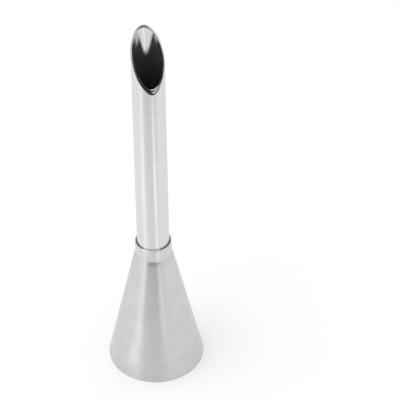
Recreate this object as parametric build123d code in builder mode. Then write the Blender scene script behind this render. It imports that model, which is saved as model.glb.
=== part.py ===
from build123d import *
import os
from math import atan, cos, sin

# Piping nozzle for filling choux and doughnuts: a sheet-steel cone with a short drawn
# collar, and a long thin tube with a bevelled point. Lengths are in millimetres.
# Z runs up the nozzle, the cone's open mouth stands on Z = 0, and the bevel opens towards -Y.

# Driving dimensions
overall_height = 76.0
mouth_diameter = 18.0
tube_diameter = 6.0

# Nozzle cone: one piece of sheet, drawn to a shoulder and a collar
sheet = 0.33
shoulder_height = 24.85
shoulder_rise = 0.8
shoulder_step = 0.29
collar_length = 2.65
collar_bend = 0.4
shoulder_bend = 1.5
mouth_ease = 0.06
lip_ease_share = 0.2
lip_lead_in_share = 0.7

# Filling tube: belled at the bottom to lie on the inside of the shoulder
tube_wall = 0.3
seat_clearance = 0.05
bell_length = 2.2
bell_ease = 0.05

# Bevel of the tip, in side view: steep at the point, flatter at mid height, and steeper again
# down to the heel, where it rolls over towards the tube's side. Only its bore keeps a crisp edge.
bevel_length = 9.95
upper_drop_share = 0.354
lower_drop_share = 0.528
heel_reach = 0.4
heel_length = 1.36
rim_ease_share = 0.68
bore_rim_ease_share = 0.14

# Waste that a cut takes beyond the metal
overrun = 1.0

# Heights, radii and angles that follow from the sizes above
collar_base = shoulder_height + shoulder_rise
collar_top = collar_base + collar_length
bell_end = shoulder_height - bell_length
lip_ease = sheet * lip_ease_share
lip_lead_in = sheet * lip_lead_in_share
mouth_radius = mouth_diameter / 2
tube_radius = tube_diameter / 2
seat_depth = sheet + seat_clearance
collar_radius = tube_radius + seat_depth
shoulder_radius = collar_radius + shoulder_step
taper = (mouth_radius - shoulder_radius) / shoulder_height
flank_tilt = atan(taper)
shoulder_tilt = atan(shoulder_step / shoulder_rise)

# The easing of the rim takes a little off the sharp point, so the cut starts above it
rim_ease = tube_wall * rim_ease_share
bore_rim_ease = tube_wall * bore_rim_ease_share
heel_start = heel_reach - tube_radius
third_of_bevel = (tube_radius - heel_start) / 3
tip_wedge = atan(third_of_bevel / (bevel_length * upper_drop_share))
sharp_tip = overall_height + rim_ease * cos(tip_wedge)
heel_top = sharp_tip - bevel_length
heel_low = heel_top - heel_length


def flank_radius(height: float, depth: float) -> float:
    """Radius of the cone's flank at a height, a depth of metal below its outer face."""
    return mouth_radius - taper * height - depth / cos(flank_tilt)


def inset_corner(radius: float, height: float, tilts: tuple[float, float], depth: float):
    """A corner of the neck's outer line, moved in by a depth of metal.

    tilts are those of the two faces that meet there, each from the vertical.
    """
    middle = sum(tilts) / 2
    reach = depth / cos((tilts[0] - tilts[1]) / 2)
    return radius - reach * cos(middle), height - reach * sin(middle)


def neck_line(depth: float, low: float, high: float) -> Wire:
    """Flank, shoulder and collar in half section, at a depth below the cone's outer face."""
    return FilletPolyline(
        (flank_radius(low, depth), low),
        inset_corner(shoulder_radius, shoulder_height, (flank_tilt, shoulder_tilt), depth),
        inset_corner(collar_radius, collar_base, (shoulder_tilt, 0), depth),
        (collar_radius - depth, high),
        radius=[shoulder_bend - depth, collar_bend + depth],
    )


def bevel_rims(tube: BuildPart) -> ShapeList[ShapeList[Edge]]:
    """Edges round the bevel's face, grouped by distance from the axis: the bore's come first."""
    rim = tube.edges().filter_by(lambda edge: edge.center().Z > heel_low)
    return rim.group_by(lambda edge: Vector((edge @ 0).X, (edge @ 0).Y).length)


# Nozzle cone
with BuildPart() as nozzle_cone:
    with BuildSketch(Plane.XZ):
        with BuildLine():
            outer = neck_line(0, 0, collar_top)
            inner = neck_line(sheet, 0, collar_top)
            Line(outer @ 0, inner @ 0)
            Line(outer @ 1, inner @ 1)
        make_face()
    revolve(axis=Axis.Z)
    chamfer(nozzle_cone.edges().group_by(Axis.Z)[-1].sort_by(SortBy.RADIUS)[-1], lip_ease)
    fillet(nozzle_cone.edges().group_by(Axis.Z)[-1].sort_by(SortBy.RADIUS)[0], lip_lead_in)
    chamfer(nozzle_cone.edges().group_by(Axis.Z)[0], mouth_ease)
nozzle_cone.part.label = "nozzle_cone"

# Filling tube
with BuildPart() as filling_tube:
    with BuildSketch(Plane.XZ):
        with BuildLine():
            outer = neck_line(seat_depth, bell_end, sharp_tip + overrun)
            inner = neck_line(seat_depth + tube_wall, bell_end, sharp_tip + overrun)
            Line(outer @ 0, inner @ 0)
            Line(outer @ 1, inner @ 1)
        make_face()
    revolve(axis=Axis.Z)
    chamfer(filling_tube.edges().group_by(Axis.Z)[0], bell_ease)
    with BuildSketch(Plane.YZ):
        with BuildLine():
            bevel = Bezier(
                (tube_radius, sharp_tip),
                (tube_radius - third_of_bevel, sharp_tip - bevel_length * upper_drop_share),
                (heel_start + third_of_bevel, sharp_tip - bevel_length * lower_drop_share),
                (heel_start, heel_top),
            )
            heel = TangentArc(bevel @ 1, (-tube_radius, heel_low), tangent=bevel % 1)
            above = bevel @ 0 - bevel % 0 * overrun
            below = heel @ 1 + heel % 1 * overrun
            waste_top = sharp_tip + overrun + overrun
            Polyline(
                bevel @ 0,
                above,
                (above.X, waste_top),
                (below.X, waste_top),
                below,
                heel @ 1,
            )
        make_face()
    extrude(amount=tube_diameter, both=True, mode=Mode.SUBTRACT)
    chamfer(bevel_rims(filling_tube)[-1], rim_ease)
    chamfer(bevel_rims(filling_tube)[0], bore_rim_ease)
filling_tube.part.label = "filling_tube"

os.makedirs("parts", exist_ok=True)
export_step(nozzle_cone.part, "parts/nozzle_cone.step")
export_step(filling_tube.part, "parts/filling_tube.step")
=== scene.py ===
"""Piping nozzle: a satin steel cone with a drawn collar, and a polished filling tube with a bevelled tip.

Shapes are worked in millimetres and scaled to metres when a piece is finished. Z runs up the nozzle,
and the bevel opens towards -Y.
"""

import logging
import math
from dataclasses import dataclass
from enum import Enum, IntEnum

import bmesh
import bpy
from bmesh.types import BMEdge, BMesh, BMFace, BMVert
from bpy.types import Material, Node, NodeSocket, Object, ShaderNodeTree
from mathutils import Matrix, Vector


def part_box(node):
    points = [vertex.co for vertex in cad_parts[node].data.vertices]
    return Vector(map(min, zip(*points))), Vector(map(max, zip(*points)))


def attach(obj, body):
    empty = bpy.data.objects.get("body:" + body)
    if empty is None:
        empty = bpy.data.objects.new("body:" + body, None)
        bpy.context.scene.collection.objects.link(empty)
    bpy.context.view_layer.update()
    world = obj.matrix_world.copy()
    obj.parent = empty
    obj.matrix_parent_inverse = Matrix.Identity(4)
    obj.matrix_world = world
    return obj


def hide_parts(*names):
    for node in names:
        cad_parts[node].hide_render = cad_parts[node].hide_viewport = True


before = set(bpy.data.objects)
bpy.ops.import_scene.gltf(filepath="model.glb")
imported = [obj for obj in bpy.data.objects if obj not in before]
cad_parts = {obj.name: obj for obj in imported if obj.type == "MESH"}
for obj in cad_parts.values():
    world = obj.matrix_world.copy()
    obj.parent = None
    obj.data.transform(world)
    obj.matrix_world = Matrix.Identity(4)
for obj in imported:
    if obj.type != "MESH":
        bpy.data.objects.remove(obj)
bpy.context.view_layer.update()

logging.basicConfig(level=logging.INFO, format="%(message)s")
log = logging.getLogger("piping_nozzle")

METRES_PER_MM = 0.001
MM_PER_METRE = 1.0 / METRES_PER_MM
FULL_TURN = 2.0 * math.pi
UP = (0.0, 0.0, 1.0)
CENTRE = (0.0, 0.0, 0.0)

# Most of a noise lies in this band, so its whole effect is spread over it
NOISE_BAND = (0.3, 0.7)
# How many finer layers each noise has
CLOUD_DETAIL = 3.0
MARK_DETAIL = 4.0
# A quarter of a turn draws reflections out along the nozzle instead of round it
ALONG_THE_AXIS = 0.25
# Distances in millimetres below which vertices are one, and below which faces share a height
MERGED_MM = 0.0001
LEVEL_MM = 0.01


class Grain(Enum):
    """Which way the marks of a finish run on the metal, as the scale of their noise along each axis."""

    ROUND = (1.0 / 60.0, 1.0 / 60.0, 1.0)
    ALONG = (1.0, 1.0, 1.0 / 30.0)
    NONE = (1.0, 1.0, 1.0)


class ConeFace(IntEnum):
    """Kinds of face on the cone, which are their material indices too."""

    OUTSIDE = 0
    INSIDE = 1
    # Faces of the open seam, which carry painted shade
    PAINTED_SEAM_SHADE = 2
    SOLDER = 3


class TubeFace(IntEnum):
    """Kinds of face on the tube, which are their material indices too.

    UNMARKED is kept for the rim's faces while it is cut, and none has it in the end.
    """

    OUTSIDE = 0
    CUT = 1
    INSIDE = 2
    UNMARKED = 3


@dataclass(frozen=True)
class SteelFinish:
    """One finish of bare stainless steel.

    Attributes:
        name: The material's name.
        tone: Reflectance of the metal, the same in red, green and blue.
        roughness: Mean roughness.
        roughness_spread: How far the roughness strays either side of its mean.
        anisotropy: How far reflections are drawn out along the nozzle's axis.
        grain: Which way the marks run.
        grain_mm: Size of a mark across the grain.
        grain_depth_mm: Height of the marks.
        cloud_mm: Size of the cloudy patches left by handling and polishing.
        cloud_share: How much the patches darken the metal.
        film: Share of the surface that a dull film covers.
        dull_roughness: Mean roughness below dull_mm, or 0 where the finish is the same all over.
        dull_mm: Heights between which the dull part passes into the rest.
    """

    name: str
    tone: float
    roughness: float
    roughness_spread: float
    anisotropy: float
    grain: Grain
    grain_mm: float
    grain_depth_mm: float
    cloud_mm: float
    cloud_share: float
    film: float = 0.0
    dull_roughness: float = 0.0
    dull_mm: tuple[float, float] = (0.0, 0.0)

    def build(self) -> Material:
        """Make the material.

        Returns:
            The finished node material.
        """
        material = bpy.data.materials.new(self.name)
        material.use_nodes = True
        tree = NodeBuilder(material.node_tree)
        shader = tree.find("BSDF_PRINCIPLED")
        shader.inputs["Metallic"].default_value = 1.0 - self.film
        shader.inputs["Anisotropic"].default_value = self.anisotropy
        shader.inputs["Anisotropic Rotation"].default_value = ALONG_THE_AXIS
        if self.anisotropy > 0.0:
            tangent = tree.add("ShaderNodeTangent", direction_type="RADIAL", axis="Z")
            tree.join(tangent.outputs["Tangent"], shader.inputs["Tangent"])
        marks = tree.noise(self.grain_mm, MARK_DETAIL, self.grain.value)
        clouds = tree.noise(self.cloud_mm, CLOUD_DETAIL)
        tone = tree.remap(clouds, NOISE_BAND, (self.tone * (1.0 - self.cloud_share), self.tone))
        tree.join(tone, shader.inputs["Base Color"])
        blend = tree.math("MULTIPLY", tree.math("ADD", marks, clouds), 0.5)
        spread = tree.remap(blend, NOISE_BAND, (-self.roughness_spread, self.roughness_spread))
        tree.join(tree.math("ADD", spread, self._mean_roughness(tree)), shader.inputs["Roughness"])
        bump = tree.add("ShaderNodeBump")
        bump.inputs["Strength"].default_value = 1.0
        bump.inputs["Distance"].default_value = self.grain_depth_mm * METRES_PER_MM
        tree.join(marks, bump.inputs["Height"])
        tree.join(bump.outputs["Normal"], shader.inputs["Normal"])
        return material

    def _mean_roughness(self, tree: "NodeBuilder") -> NodeSocket | float:
        """The roughness without its unevenness.

        Args:
            tree: The material's nodes.

        Returns:
            One number, or a socket where the roughness changes with height.
        """
        if self.dull_roughness == 0.0:
            return self.roughness
        place = tree.add("ShaderNodeTexCoord")
        axes = tree.add("ShaderNodeSeparateXYZ")
        tree.join(place.outputs["Object"], axes.inputs["Vector"])
        ends = tuple(height * METRES_PER_MM for height in self.dull_mm)
        return tree.remap(axes.outputs["Z"], ends, (self.dull_roughness, self.roughness))


@dataclass
class NodeBuilder:
    """Short ways to add and join shader nodes."""

    tree: ShaderNodeTree

    def find(self, kind: str) -> Node:
        """The first node of a type."""
        return next(node for node in self.tree.nodes if node.type == kind)

    def add(self, kind: str, **settings: object) -> Node:
        """Add a node and set its properties.

        Args:
            kind: The node's class name.
            **settings: Properties of the node and their values.

        Returns:
            The new node.
        """
        node = self.tree.nodes.new(kind)
        for name, value in settings.items():
            setattr(node, name, value)
        return node

    def join(self, source: NodeSocket, target: NodeSocket) -> None:
        """Link an output to an input."""
        self.tree.links.new(source, target)

    def math(self, operation: str, *values: NodeSocket | float) -> NodeSocket:
        """Add a Math node.

        Args:
            operation: The node's operation.
            *values: Its inputs in order, each a socket to link or a number to set.

        Returns:
            The result.
        """
        node = self.add("ShaderNodeMath", operation=operation)
        for socket, value in zip(node.inputs, values):
            if isinstance(value, NodeSocket):
                self.join(value, socket)
            else:
                socket.default_value = value
        return node.outputs[0]

    def remap(
        self, value: NodeSocket, source: tuple[float, float], target: tuple[float, float]
    ) -> NodeSocket:
        """Map one range of numbers smoothly to another.

        Args:
            value: The number to map.
            source: Ends of the range that it comes from, past which the result stays the same.
            target: What the two ends become.

        Returns:
            The mapped number.
        """
        node = self.add("ShaderNodeMapRange", interpolation_type="SMOOTHSTEP")
        ends = {"From Min": source[0], "From Max": source[1], "To Min": target[0], "To Max": target[1]}
        for name, number in ends.items():
            node.inputs[name].default_value = number
        self.join(value, node.inputs["Value"])
        return node.outputs["Result"]

    def noise(
        self, size_mm: float, detail: float, stretch: tuple[float, float, float] = Grain.NONE.value
    ) -> NodeSocket:
        """Cloudy noise on Object coordinates.

        Args:
            size_mm: Size of a patch along the axis that isn't stretched.
            detail: How many finer layers are added.
            stretch: Scale along each axis, at most 1, where less makes longer patches.

        Returns:
            The noise, from 0 to 1.
        """
        place = self.add("ShaderNodeTexCoord")
        mapping = self.add("ShaderNodeMapping")
        mapping.inputs["Scale"].default_value = stretch
        texture = self.add("ShaderNodeTexNoise")
        texture.inputs["Scale"].default_value = MM_PER_METRE / size_mm
        texture.inputs["Detail"].default_value = detail
        self.join(place.outputs["Object"], mapping.inputs["Vector"])
        self.join(mapping.outputs["Vector"], texture.inputs["Vector"])
        return texture.outputs["Fac"]


def grey(tone: float) -> tuple[float, float, float, float]:
    """An opaque grey."""
    return tone, tone, tone, 1.0


def make_object(name: str, shell: BMesh, materials: list[Material]) -> Object:
    """Make a mesh an object of the scene.

    Args:
        name: The object's name.
        shell: Its mesh, which is used up.
        materials: Its materials, in the order of the faces' material indices.

    Returns:
        The object.
    """
    mesh = bpy.data.meshes.new(name)
    shell.to_mesh(mesh)
    shell.free()
    for material in materials:
        mesh.materials.append(material)
    made = bpy.data.objects.new(name, mesh)
    bpy.context.scene.collection.objects.link(made)
    return made


SATIN = SteelFinish(
    name="satin_steel",
    tone=0.70,
    roughness=0.28,
    roughness_spread=0.03,
    anisotropy=0.9,
    grain=Grain.ROUND,
    grain_mm=0.12,
    grain_depth_mm=0.0006,
    cloud_mm=3.0,
    cloud_share=0.08,
    dull_roughness=0.36,
    dull_mm=(25.4, 26.2),
)
POLISHED = SteelFinish(
    name="polished_steel",
    tone=0.74,
    roughness=0.28,
    roughness_spread=0.02,
    anisotropy=0.9,
    grain=Grain.ROUND,
    grain_mm=0.1,
    grain_depth_mm=0.00015,
    cloud_mm=9.0,
    cloud_share=0.02,
)
GROUND = SteelFinish(
    name="ground_edge",
    tone=0.70,
    roughness=0.12,
    roughness_spread=0.03,
    anisotropy=0.0,
    grain=Grain.NONE,
    grain_mm=0.3,
    grain_depth_mm=0.0005,
    cloud_mm=1.0,
    cloud_share=0.03,
)
# Painted shade: a dark, rough finish for the open seam between collar and tube, which stands in for the
# shade in the gap
PAINTED_SEAM_SHADE = SteelFinish(
    name="seam",
    tone=0.3,
    roughness=0.45,
    roughness_spread=0.05,
    anisotropy=0.0,
    grain=Grain.NONE,
    grain_mm=0.1,
    grain_depth_mm=0.002,
    cloud_mm=0.6,
    cloud_share=0.3,
)
SOLDER = SteelFinish(
    name="solder",
    tone=0.8,
    roughness=0.5,
    roughness_spread=0.05,
    anisotropy=0.0,
    grain=Grain.NONE,
    grain_mm=0.1,
    grain_depth_mm=0.001,
    cloud_mm=0.6,
    cloud_share=0.1,
    film=0.7,
)
BORE = SteelFinish(
    name="drawn_bore",
    tone=0.7,
    roughness=0.17,
    roughness_spread=0.03,
    anisotropy=0.0,
    grain=Grain.ALONG,
    grain_mm=0.2,
    grain_depth_mm=0.0005,
    cloud_mm=4.0,
    cloud_share=0.08,
    film=0.03,
)


@dataclass
class Corner:
    """A corner of a wall's half section, in millimetres.

    Attributes:
        radius: Distance from the axis.
        height: Height above the open mouth.
        bend: Radius that rounds the corner, or 0.
        segments: Steps in the rounding.
    """

    radius: float
    height: float
    bend: float = 0.0
    segments: int = 6

    @property
    def place(self) -> Vector:
        """The corner in the section's plane."""
        return Vector((self.radius, 0.0, self.height))


@dataclass
class Neck:
    """The line that cone and tube share where one seats in the other, in millimetres.

    Attributes:
        mouth_radius: Outer radius of the open mouth, before its edge is eased.
        tube_radius: Outer radius of the tube.
        sheet: Thickness of the cone's metal.
        seat_clearance: Gap between the tube and the cone.
        shoulder_height: Height where the flank ends.
        shoulder_rise: Height of the shoulder.
        shoulder_step: How much the shoulder narrows the cone.
        collar_bend: Rounding between shoulder and collar, outside.
        shoulder_bend: Rounding between flank and shoulder, outside.
    """

    mouth_radius: float = 9.0
    tube_radius: float = 3.0
    sheet: float = 0.33
    seat_clearance: float = 0.05
    shoulder_height: float = 24.85
    shoulder_rise: float = 0.8
    shoulder_step: float = 0.29
    collar_bend: float = 0.4
    shoulder_bend: float = 1.5

    @property
    def seat_depth(self) -> float:
        """Depth of the tube's outer face below the cone's."""
        return self.sheet + self.seat_clearance

    @property
    def collar_radius(self) -> float:
        """Outer radius of the collar."""
        return self.tube_radius + self.seat_depth

    @property
    def collar_base(self) -> float:
        """Height where the collar starts."""
        return self.shoulder_height + self.shoulder_rise

    @property
    def taper(self) -> float:
        """Radius that the flank loses in each unit of height."""
        return (self.mouth_radius - self.collar_radius - self.shoulder_step) / self.shoulder_height

    def flank_radius(self, height: float, depth: float) -> float:
        """Radius of the flank at a height, a depth of metal below its outer face."""
        return self.mouth_radius - self.taper * height - depth / math.cos(math.atan(self.taper))

    def corners(self, depth: float) -> tuple[Corner, Corner]:
        """The shoulder's lower and upper corner at a depth below the outer face.

        Args:
            depth: Depth of metal below the cone's outer face.

        Returns:
            The corner with the flank, then the corner with the collar.
        """
        flank, shoulder = math.atan(self.taper), math.atan(self.shoulder_step / self.shoulder_rise)
        wide = self.collar_radius + self.shoulder_step
        lower = self._inset(wide, self.shoulder_height, (flank, shoulder), depth)
        upper = self._inset(self.collar_radius, self.collar_base, (shoulder, 0.0), depth)
        return (
            Corner(*lower, bend=self.shoulder_bend - depth),
            Corner(*upper, bend=self.collar_bend + depth),
        )

    @staticmethod
    def _inset(
        radius: float, height: float, leans: tuple[float, float], depth: float
    ) -> tuple[float, float]:
        """Move a corner in by a depth of metal.

        Args:
            radius: The corner's distance from the axis.
            height: Its height.
            leans: How far the faces below and above it lean from the vertical.
            depth: The depth of metal.

        Returns:
            The new radius and height.
        """
        below, above = leans
        middle = (below + above) / 2.0
        reach = depth / math.cos((above - below) / 2.0)
        return radius - reach * math.cos(middle), height - reach * math.sin(middle)


@dataclass(kw_only=True)
class TurnedPiece:
    """A piece of thin metal turned about the nozzle's axis, in millimetres.

    Attributes:
        name: The piece's name.
        node: The CAD node that it stands for.
        slot: The record's material slot. Not used.
        neck: The line that cone and tube share.
        steps: Facets round the axis.
        sharp_degrees: Angle past which an edge isn't smoothed over.
    """

    name: str
    node: str
    slot: str
    neck: Neck
    steps: int = 192
    sharp_degrees: float = 30.0

    def turn(self, section: list[Corner]) -> BMesh:
        """Spin a closed half section into a shell.

        Args:
            section: Its corners in order.

        Returns:
            The shell, with its outer faces turned outwards.
        """
        shell = bmesh.new()
        corners = [shell.verts.new(corner.place) for corner in section]
        shell.faces.new(corners)
        for index, (corner, vertex) in enumerate(zip(section, corners)):
            if corner.bend > 0.0:
                before = section[index - 1].place - corner.place
                after = section[(index + 1) % len(section)].place - corner.place
                bent = math.pi - before.angle(after)
                bmesh.ops.bevel(
                    shell,
                    geom=[vertex],
                    offset=corner.bend * math.tan(bent / 2.0),
                    offset_type="OFFSET",
                    affect="VERTICES",
                    segments=corner.segments,
                    profile=0.5,
                    material=-1,
                )
        bmesh.ops.delete(shell, geom=shell.faces[:], context="FACES_ONLY")
        bmesh.ops.spin(
            shell,
            geom=shell.verts[:] + shell.edges[:],
            cent=CENTRE,
            axis=UP,
            angle=FULL_TURN,
            steps=self.steps,
            use_merge=True,
        )
        bmesh.ops.remove_doubles(shell, verts=shell.verts[:], dist=MERGED_MM)
        bmesh.ops.recalc_face_normals(shell, faces=shell.faces[:])
        return shell

    def finish(self, shell: BMesh, finishes: dict[IntEnum, SteelFinish]) -> Object:
        """Make the shell an object in metres and put it in the frame.

        Args:
            shell: The finished shell, which is used up.
            finishes: The finish of each kind of face.

        Returns:
            The object, riding on the part's body.
        """
        sharp = math.radians(self.sharp_degrees)
        for face in shell.faces:
            face.smooth = True
        for edge in shell.edges:
            edge.smooth = not edge.is_manifold or edge.calc_face_angle() < sharp
        bmesh.ops.scale(shell, vec=(METRES_PER_MM,) * 3, verts=shell.verts[:])
        log.info("%s: %d faces", self.name, len(shell.faces))
        piece = make_object(self.name, shell, [finishes[kind].build() for kind in sorted(finishes)])
        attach(piece, "root")
        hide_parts(self.node)
        return piece


@dataclass(kw_only=True)
class NozzleCone(TurnedPiece):
    """The cone of sheet steel, with its shoulder and collar.

    Attributes:
        collar_top: Height of the collar's lip.
        mouth_ease: Rounding of the mouth's edges.
        lip_ease: Rounding of the lip's outer edge.
        lip_lead_in: Rounding of the lip's inner edge.
        seam_closed: Direction, from -Y towards +X in degrees, where the tube lies against the collar.
        seam_closed_half: How far round to each side of it the seam is closed.
        seam_ramp: How far round the closed stretch takes to open at its ends.
        level_share: Share of the lead-in's depth that still counts as the lip's level top.
        filled_share: Share of its depth down to which the closed stretch has the finish of solder.
        reach_share: Reach of the closing in shares of the lead-in, past 1 to take in its last ring.
    """

    collar_top: float
    mouth_ease: float = 0.06
    lip_ease: float = 0.07
    lip_lead_in: float = 0.24
    seam_closed: float = -23.0
    seam_closed_half: float = 32.0
    seam_ramp: float = 4.0
    level_share: float = 0.05
    filled_share: float = 0.5
    reach_share: float = 1.1

    def build(self) -> Object:
        """Turn the cone, close part of its seam and dress it.

        Returns:
            The cone.
        """
        neck, sheet = self.neck, self.neck.sheet
        section = [
            Corner(neck.flank_radius(0.0, 0.0), 0.0, self.mouth_ease, segments=3),
            *neck.corners(0.0),
            Corner(neck.collar_radius, self.collar_top, self.lip_ease, segments=4),
            Corner(neck.collar_radius - sheet, self.collar_top, self.lip_lead_in, segments=8),
            *reversed(neck.corners(sheet)),
            Corner(neck.flank_radius(0.0, sheet), 0.0, self.mouth_ease, segments=3),
        ]
        shell = self.turn(section)
        for vertex in shell.verts:
            sunk, inward, aside = self._seam_place(vertex.co)
            if max(sunk, inward) < self.reach_share:
                closed = min(max((self.seam_closed_half - aside) / self.seam_ramp, 0.0), 1.0)
                vertex.co.z += closed * sunk * self.lip_lead_in
        shell.normal_update()
        for face in shell.faces:
            face.material_index = self._kind(face.calc_center_median())
        finishes = {
            ConeFace.OUTSIDE: SATIN,
            ConeFace.INSIDE: BORE,
            ConeFace.PAINTED_SEAM_SHADE: PAINTED_SEAM_SHADE,
            ConeFace.SOLDER: SOLDER,
        }
        return self.finish(shell, finishes)

    def _kind(self, place: Vector) -> ConeFace:
        """The kind of a face.

        Args:
            place: The face's middle.

        Returns:
            Its kind. The open part of the seam gets a dark finish that paints the shade of the gap between
            collar and tube.
        """
        sunk, inward, aside = self._seam_place(place)
        if inward < 1.0:
            if aside < self.seam_closed_half:
                if sunk < self.filled_share:
                    return ConeFace.SOLDER
            # Painted shade: the open seam's faces at the sides get the dark seam finish in place of the
            # gap's shade
            elif self.level_share < sunk < 1.0:
                return ConeFace.PAINTED_SEAM_SHADE
        middle = self.neck.flank_radius(place.z, self.neck.sheet / 2.0)
        if place.z < self.neck.collar_base and math.hypot(place.x, place.y) < middle:
            return ConeFace.INSIDE
        return ConeFace.OUTSIDE

    def _seam_place(self, place: Vector) -> tuple[float, float, float]:
        """Where a point lies in the seam.

        Args:
            place: The point.

        Returns:
            Its depth below the lip and its distance from the bore, both as shares of the lead-in, and
            how far round it is from the middle of the closed stretch, in degrees.
        """
        sunk = (self.collar_top - place.z) / self.lip_lead_in
        bore = self.neck.collar_radius - self.neck.sheet
        inward = (math.hypot(place.x, place.y) - bore) / self.lip_lead_in
        aside = math.degrees(math.atan2(place.x, -place.y)) - self.seam_closed
        return sunk, inward, abs(aside)


@dataclass(kw_only=True)
class FillingTube(TurnedPiece):
    """The tube, belled at its foot and bevelled at its tip.

    Attributes:
        top: Height of the finished tip.
        wall: Thickness of the tube's metal.
        bell_length: How far the bell reaches below the shoulder.
        bell_ease: Rounding of the bell's edges.
        bevel_length: Height of the bevel above its heel.
        bevel_share: How far down the two inner control points of its side view lie, which is a cubic
            curve with control points evenly spaced from back to front.
        heel_reach: How far in from the tube's side the heel starts to roll over.
        heel_length: Height of the heel.
        rim_ease: Rounding of the bevel's outer edge.
        bore_rim_ease: Rounding of the bevel's inner edge.
        ease_segments: Steps in those two roundings.
        cut_rings: Rings of points across the flat of the bevel's face.
        lip_rise: How far the heel's lip stands above the bevel's line, halfway through the wall.
        lip_reach: How far the lip reaches towards -X and towards +X.
        plain_share: Share of the tube's height below which its rings stay level.
        rim_ring: Depth of the topmost ring of facets below the rim.
    """

    top: float
    wall: float = 0.3
    bell_length: float = 2.2
    bell_ease: float = 0.05
    bevel_length: float = 9.95
    bevel_share: tuple[float, float] = (0.354, 0.528)
    heel_reach: float = 0.4
    heel_length: float = 1.36
    rim_ease: float = 0.2
    bore_rim_ease: float = 0.04
    ease_segments: int = 8
    cut_rings: int = 7
    lip_rise: float = 0.4
    lip_reach: tuple[float, float] = (0.5, 1.1)
    plain_share: float = 0.8
    rim_ring: float = 0.4

    def build(self) -> Object:
        """Turn the tube, cut its bevel and dress it.

        Returns:
            The tube.
        """
        neck, foot = self.neck, self.neck.shoulder_height - self.bell_length
        outer, inner = neck.seat_depth, neck.seat_depth + self.wall
        plain = self.top * self.plain_share
        rings = [plain, (plain + self.top) / 2.0, self.top - self.rim_ring, self.top]
        section = [
            Corner(neck.flank_radius(foot, outer), foot, self.bell_ease, segments=3),
            *neck.corners(outer),
            *(Corner(neck.tube_radius, height) for height in rings),
            *(Corner(neck.tube_radius - self.wall, height) for height in reversed(rings)),
            *reversed(neck.corners(inner)),
            Corner(neck.flank_radius(foot, inner), foot, self.bell_ease, segments=3),
        ]
        shell = self.turn(section)
        middle = neck.tube_radius - self.wall / 2.0
        for face in shell.faces:
            place = face.calc_center_median()
            if math.hypot(place.x, place.y) < middle or self._is_bell_inside(place):
                face.material_index = TubeFace.INSIDE
        self._bevel(shell, plain)
        finishes = {TubeFace.OUTSIDE: POLISHED, TubeFace.CUT: GROUND, TubeFace.INSIDE: BORE}
        return self.finish(shell, finishes)

    def _bevel(self, shell: BMesh, plain: float) -> None:
        """Lower the tube's top to the bevel's line, ease its rim and level its lip.

        Args:
            shell: The turned tube.
            plain: Height below which nothing moves.
        """
        rim = {face for face in shell.faces if face.calc_center_median().z > self.top - LEVEL_MM}
        edges = [edge for edge in shell.edges if rim.intersection(edge.link_faces)]
        quarter = self.wall / 4.0
        outer = [edge for edge in edges if self._radius(edge) > self.neck.tube_radius - quarter]
        inner = [edge for edge in edges if self._radius(edge) < self.neck.tube_radius - 3.0 * quarter]
        for vertex in shell.verts:
            if vertex.co.z > plain:
                share = (vertex.co.z - plain) / (self.top - plain)
                vertex.co.z = plain + share * (self._cut_height(vertex.co.y) - plain)
        shell.normal_update()
        for face in rim:
            face.material_index = TubeFace.UNMARKED
        eased = self._ease(shell, outer, self.rim_ease) + self._ease(shell, inner, self.bore_rim_ease)
        flat = {face for face in shell.faces if face.material_index == TubeFace.UNMARKED}
        flat.difference_update(eased)
        for face in flat.union(eased):
            face.material_index = TubeFace.CUT
        across = [edge for edge in shell.edges if edge.is_manifold and flat.issuperset(edge.link_faces)]
        split = bmesh.ops.subdivide_edges(shell, edges=across, cuts=self.cut_rings, use_grid_fill=True)
        for vertex in split["geom_inner"]:
            if isinstance(vertex, BMVert):
                vertex.co.z = self._cut_height(vertex.co.y) + self._lip_rise(vertex.co)

    def _lip_rise(self, place: Vector) -> float:
        """How far the lip, which lies level from the bore outwards, stands above the cut's line.

        Args:
            place: A point of the cut.

        Returns:
            The rise, most at the heel and less to each side of it.
        """
        if place.y > 0.0:
            return 0.0
        across = (math.hypot(place.x, place.y) - self.neck.tube_radius) / self.wall + 1.0
        level = 2.0 * min(across, 1.0 - across)
        reach = self.lip_reach[0] if place.x < 0.0 else self.lip_reach[1]
        steepness = -place.y / self.neck.tube_radius
        return self.lip_rise * level * steepness * math.exp(-((place.x / reach) ** 2))

    @staticmethod
    def _radius(edge: BMEdge) -> float:
        """Mean distance of an edge's ends from the axis."""
        return sum(math.hypot(vertex.co.x, vertex.co.y) for vertex in edge.verts) / 2.0

    def _ease(self, shell: BMesh, edges: list[BMEdge], ease: float) -> list[BMFace]:
        """Round edges over.

        Args:
            shell: The mesh.
            edges: The edges.
            ease: How far the rounding reaches along the faces on each side.

        Returns:
            The faces of the rounding.
        """
        rounding = bmesh.ops.bevel(
            shell,
            geom=edges,
            offset=ease,
            offset_type="OFFSET",
            affect="EDGES",
            segments=self.ease_segments,
            profile=0.5,
            material=-1,
        )
        return rounding["faces"]

    def _cut_height(self, y: float) -> float:
        """Height of the bevel's line in side view.

        Args:
            y: Place from back to front.

        Returns:
            The height.
        """
        span = 2.0 * self.neck.tube_radius - self.heel_reach
        upper, lower = self.bevel_share
        wedge = math.atan(span / (3.0 * upper * self.bevel_length))
        sharp_tip = self.top + self.rim_ease * math.cos(wedge)
        along = (self.neck.tube_radius - y) / span
        if along > 1.0:
            lean = math.atan(span / (3.0 * (1.0 - lower) * self.bevel_length))
            return self._heel_height(y, sharp_tip - self.bevel_length, lean)
        rest = 1.0 - along
        drop = 3.0 * rest * rest * along * upper + 3.0 * rest * along * along * lower + along**3
        return sharp_tip - self.bevel_length * drop

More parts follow.
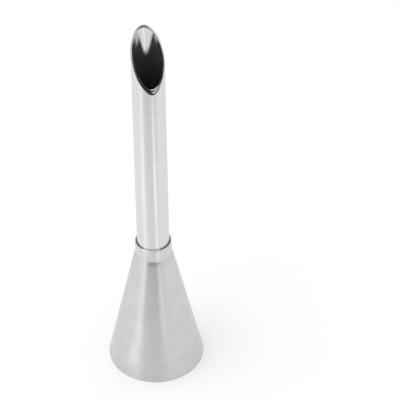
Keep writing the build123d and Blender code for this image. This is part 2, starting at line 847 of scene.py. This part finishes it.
    def _heel_height(self, y: float, heel_top: float, lean: float) -> float:
        """Height of the heel's line, an arc that carries on from the bevel.

        Args:
            y: Place from back to front.
            heel_top: Height where the heel starts.
            lean: How far the bevel leans from the vertical there.

        Returns:
            The height.
        """
        chord = math.hypot(self.heel_reach, self.heel_length)
        radius = chord / (2.0 * math.sin(lean - math.atan(self.heel_reach / self.heel_length)))
        out = self.heel_reach - self.neck.tube_radius - y
        rise = math.sqrt(radius**2 - (radius * math.cos(lean) + out) ** 2)
        return heel_top - radius * math.sin(lean) + rise

    def _is_bell_inside(self, place: Vector) -> bool:
        """Whether a point lies on the bell's inner face.

        Args:
            place: The point.

        Returns:
            True below the collar, on the axis's side of the middle of the wall.
        """
        if place.z > self.neck.collar_base:
            return False
        middle = self.neck.flank_radius(place.z, self.neck.seat_depth + self.wall / 2.0)
        return math.hypot(place.x, place.y) < middle


@dataclass
class Studio:
    """A pale floor, soft lights and the camera, in metres and degrees.

    Azimuths are measured from the camera's, positive to its right.

    Attributes:
        azimuth: Where the camera stands round the nozzle, from -Y towards +X.
        elevation: How far it looks down.
        distance: How far it stands from the middle of the nozzle.
        target_height: Height of the nozzle's middle, which camera and lamps face.
        yaw: How far it looks to the left of the nozzle's middle.
        pitch: How far it looks above it.
        roll: How far the picture leans.
        lens: Focal length in millimetres, on a sensor of sensor_mm.
        sensor_mm: Width of the sensor.
        floor_size: Radius of the floor.
        floor_gap: How far the floor lies below the mouth's edge, so that the two never share a plane.
        floor_tone: Reflectance of the floor for the light that it throws back.
        shown_tone: Reflectance of the floor as the camera and the metal see it.
        shown_glow: What is added there, to bring the lit floor up to white.
        room_tone: Brightness of the room on all sides.
        lamp_distance: How far off the soft lamps hang.
        card_roughness: Roughness of the dark cards.
    """

    azimuth: float = -15.2
    elevation: float = 41.34
    distance: float = 0.4825
    target_height: float = 0.038
    yaw: float = -1.039
    pitch: float = -0.03
    roll: float = 1.747
    lens: float = 238.3
    sensor_mm: float = 36.0
    floor_size: float = 0.6
    floor_gap: float = 0.00002
    floor_tone: float = 0.8
    shown_tone: float = 0.75
    shown_glow: float = 0.155
    room_tone: float = 0.8
    lamp_distance: float = 0.6
    card_roughness: float = 0.9

    def build(self) -> None:
        """Set up the whole studio."""
        self.place_camera()
        self.lay_floor()
        self.light_room()
        self.hang_softbox("top", azimuth=0.0, elevation=89.0, width=0.5, height=0.5, power=1.0)
        self.hang_softbox("key", azimuth=-75.0, elevation=55.0, width=0.6, height=0.5, power=0.9)
        self.hang_softbox("left_strip", azimuth=-46.0, elevation=6.0, width=0.06, height=0.14, power=0.06)
        self.lay_reflector(
            "near_reflector", azimuth=-46.0, near=0.0105, far=0.03, width=0.005, radiance=0.22
        )
        self.lay_reflector("left_reflector", azimuth=-56.0, near=0.03, far=0.055, width=0.01, radiance=0.26)
        self.lay_reflector(
            "tube_left", azimuth=-58.0, near=0.015, far=0.06, width=0.006, radiance=0.22, height=0.03
        )
        self.lay_reflector(
            "tube_right", azimuth=21.0, near=0.015, far=0.06, width=0.005, radiance=0.22, height=0.03
        )
        self.lay_reflector("right_reflector", azimuth=24.0, near=0.03, far=0.12, width=0.012, radiance=0.33)
        self.hang_card(
            "low_card", azimuth=-9.0, distance=0.13, width=0.125, low=0.005, high=0.08, shade=0.03
        )
        self.hang_card(
            "high_card", azimuth=3.0, distance=0.06, width=0.108, low=0.037, high=0.1, shade=0.03
        )
        self.lay_reflector("side_reflector", azimuth=62.0, near=0.15, far=0.45, width=0.2, radiance=0.25)

    def place_camera(self) -> None:
        """Put the camera where the photograph was taken from."""
        data = bpy.data.cameras.new("camera")
        data.lens = self.lens
        data.sensor_width = self.sensor_mm
        camera = bpy.data.objects.new("camera", data)
        bpy.context.scene.collection.objects.link(camera)
        aim = (
            Matrix.Rotation(math.radians(self.yaw), 4, "Y")
            @ Matrix.Rotation(math.radians(self.pitch), 4, "X")
            @ Matrix.Rotation(math.radians(-self.roll), 4, "Z")
        )
        camera.matrix_world = self._facing(0.0, self.elevation, self.distance) @ aim
        bpy.context.scene.camera = camera

    def _turn(self, azimuth: float) -> Matrix:
        """The turn from -Y to an azimuth."""
        return Matrix.Rotation(math.radians(self.azimuth + azimuth), 4, "Z")

    def _facing(self, azimuth: float, elevation: float, distance: float) -> Matrix:
        """A place that faces the middle of the nozzle.

        Args:
            azimuth: Its direction from the camera's azimuth.
            elevation: Its direction above the floor.
            distance: How far off it is.

        Returns:
            The place, which looks along its own -Z.
        """
        middle = Matrix.Translation((0.0, 0.0, self.target_height))
        tilt = Matrix.Rotation(math.radians(90.0 - elevation), 4, "X")
        return middle @ self._turn(azimuth) @ tilt @ Matrix.Translation((0.0, 0.0, distance))

    def lay_floor(self) -> None:
        """Lay the pale floor."""
        disc = bmesh.new()
        bmesh.ops.create_circle(disc, cap_ends=True, radius=self.floor_size, segments=96)
        bmesh.ops.translate(disc, vec=(0.0, 0.0, -self.floor_gap), verts=disc.verts[:])
        floor = make_object("floor", disc, [self._floor_material()])

    def _floor_material(self) -> Material:
        """White paper that shows white to the camera and in the metal, less the nozzle's shadow.

        Returns:
            The material.
        """
        material = bpy.data.materials.new("white_paper")
        material.use_nodes = True
        tree = NodeBuilder(material.node_tree)
        material.node_tree.nodes.clear()
        output = tree.add("ShaderNodeOutputMaterial")
        paper = tree.add("ShaderNodeBsdfDiffuse")
        paper.inputs["Color"].default_value = grey(self.floor_tone)
        shown = tree.add("ShaderNodeBsdfDiffuse")
        shown.inputs["Color"].default_value = grey(self.shown_tone)
        lift = tree.add("ShaderNodeEmission")
        lift.inputs["Strength"].default_value = self.shown_glow
        both = tree.add("ShaderNodeAddShader")
        tree.join(shown.outputs["BSDF"], both.inputs[0])
        tree.join(lift.outputs["Emission"], both.inputs[1])
        mix = tree.add("ShaderNodeMixShader")
        tree.join(self._seen(tree), mix.inputs["Fac"])
        tree.join(paper.outputs["BSDF"], mix.inputs[1])
        tree.join(both.outputs["Shader"], mix.inputs[2])
        tree.join(mix.outputs["Shader"], output.inputs["Surface"])
        return material

    @staticmethod
    def _seen(tree: NodeBuilder) -> NodeSocket:
        """1 where the camera looks, straight or in the metal, and 0 for other light."""
        path = tree.add("ShaderNodeLightPath")
        return tree.math("MAXIMUM", path.outputs["Is Camera Ray"], path.outputs["Is Glossy Ray"])

    def lay_reflector(
        self,
        name: str,
        azimuth: float,
        near: float,
        far: float,
        width: float,
        radiance: float,
        height: float = 0.001,
    ) -> None:
        """Lay a soft strip of light on the floor or above it, facing up, for the metal to mirror.

        Args:
            name: The strip's name.
            azimuth: Its direction from the camera's azimuth.
            near: Where it starts, from the nozzle's axis.
            far: Where it ends.
            width: Its width.
            radiance: How bright it is.
            height: How high it lies. Only what stands higher mirrors it.
        """
        length = far - near
        lie = Matrix.Translation((0.0, -(near + far) / 2.0, height)) @ Matrix.Rotation(math.pi, 4, "X")
        power = radiance * math.pi * width * length
        self._add_light(name, (width, length), power, self._turn(azimuth) @ lie)

    @staticmethod
    def _add_light(name: str, size: tuple[float, float], power: float, place: Matrix) -> None:
        """Add a rectangular light that the camera doesn't see.

        Args:
            name: The light's name.
            size: Width and height of its face.
            power: Its power in watts.
            place: Where it is and which way it faces.
        """
        data = bpy.data.lights.new(name, "AREA")
        data.shape = "RECTANGLE"
        data.size, data.size_y = size
        data.energy = power
        light = bpy.data.objects.new(name, data)
        bpy.context.scene.collection.objects.link(light)
        light.matrix_world = place
        light.visible_camera = False

    def hang_card(
        self,
        name: str,
        azimuth: float,
        distance: float,
        width: float,
        low: float,
        high: float,
        shade: float,
    ) -> None:
        """Hang a dark card upright, unseen by the camera, for the metal to mirror.

        Args:
            name: The card's name.
            azimuth: Its direction from the camera's azimuth.
            distance: How far it hangs from the nozzle's axis.
            width: Width of the card.
            low: Height of its lower edge.
            high: Height of its upper edge.
            shade: Its grey, from 0 for black.
        """
        card = bmesh.new()
        bmesh.ops.create_grid(card, x_segments=1, y_segments=1, size=0.5)
        size = Matrix.Diagonal((width, high - low, 1.0, 1.0))
        stand = Matrix.Rotation(math.pi / 2.0, 4, "X")
        place = self._turn(azimuth) @ Matrix.Translation((0.0, -distance, (low + high) / 2.0))
        bmesh.ops.transform(card, matrix=place @ stand @ size, verts=card.verts[:])
        material = bpy.data.materials.new(name)
        material.use_nodes = True
        shader = NodeBuilder(material.node_tree).find("BSDF_PRINCIPLED")
        shader.inputs["Base Color"].default_value = grey(shade)
        shader.inputs["Roughness"].default_value = self.card_roughness
        piece = make_object(name, card, [material])
        piece.visible_camera = False
        piece.visible_shadow = False
        piece.visible_diffuse = False

    def light_room(self) -> None:
        """Light the room evenly from all sides."""
        world = bpy.data.worlds.new("room")
        world.use_nodes = True
        bpy.context.scene.world = world
        room = NodeBuilder(world.node_tree).find("BACKGROUND")
        room.inputs["Color"].default_value = grey(self.room_tone)
        room.inputs["Strength"].default_value = 1.0

    def hang_softbox(
        self, name: str, azimuth: float, elevation: float, width: float, height: float, power: float
    ) -> None:
        """Hang one soft lamp, facing the nozzle.

        Args:
            name: The lamp's name.
            azimuth: Its direction from the camera's azimuth.
            elevation: Its direction above the floor.
            width: Width of its face.
            height: Height of its face.
            power: Its power in watts.
        """
        place = self._facing(azimuth, elevation, self.lamp_distance)
        self._add_light(name, (width, height), power, place)


def main() -> None:
    """Build the nozzle and the studio."""
    bpy.context.scene.view_settings.view_transform = "Standard"
    cone_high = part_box("nozzle_cone")[1]
    tube_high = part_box("filling_tube")[1]
    neck = Neck()
    NozzleCone(
        name="nozzle_cone_shell",
        node="nozzle_cone",
        slot="satin_steel",
        neck=neck,
        collar_top=cone_high.z * MM_PER_METRE,
    ).build()
    FillingTube(
        name="filling_tube_shell",
        node="filling_tube",
        slot="polished_steel",
        neck=neck,
        top=tube_high.z * MM_PER_METRE,
    ).build()
    Studio().build()


if __name__ == "__main__":
    main()
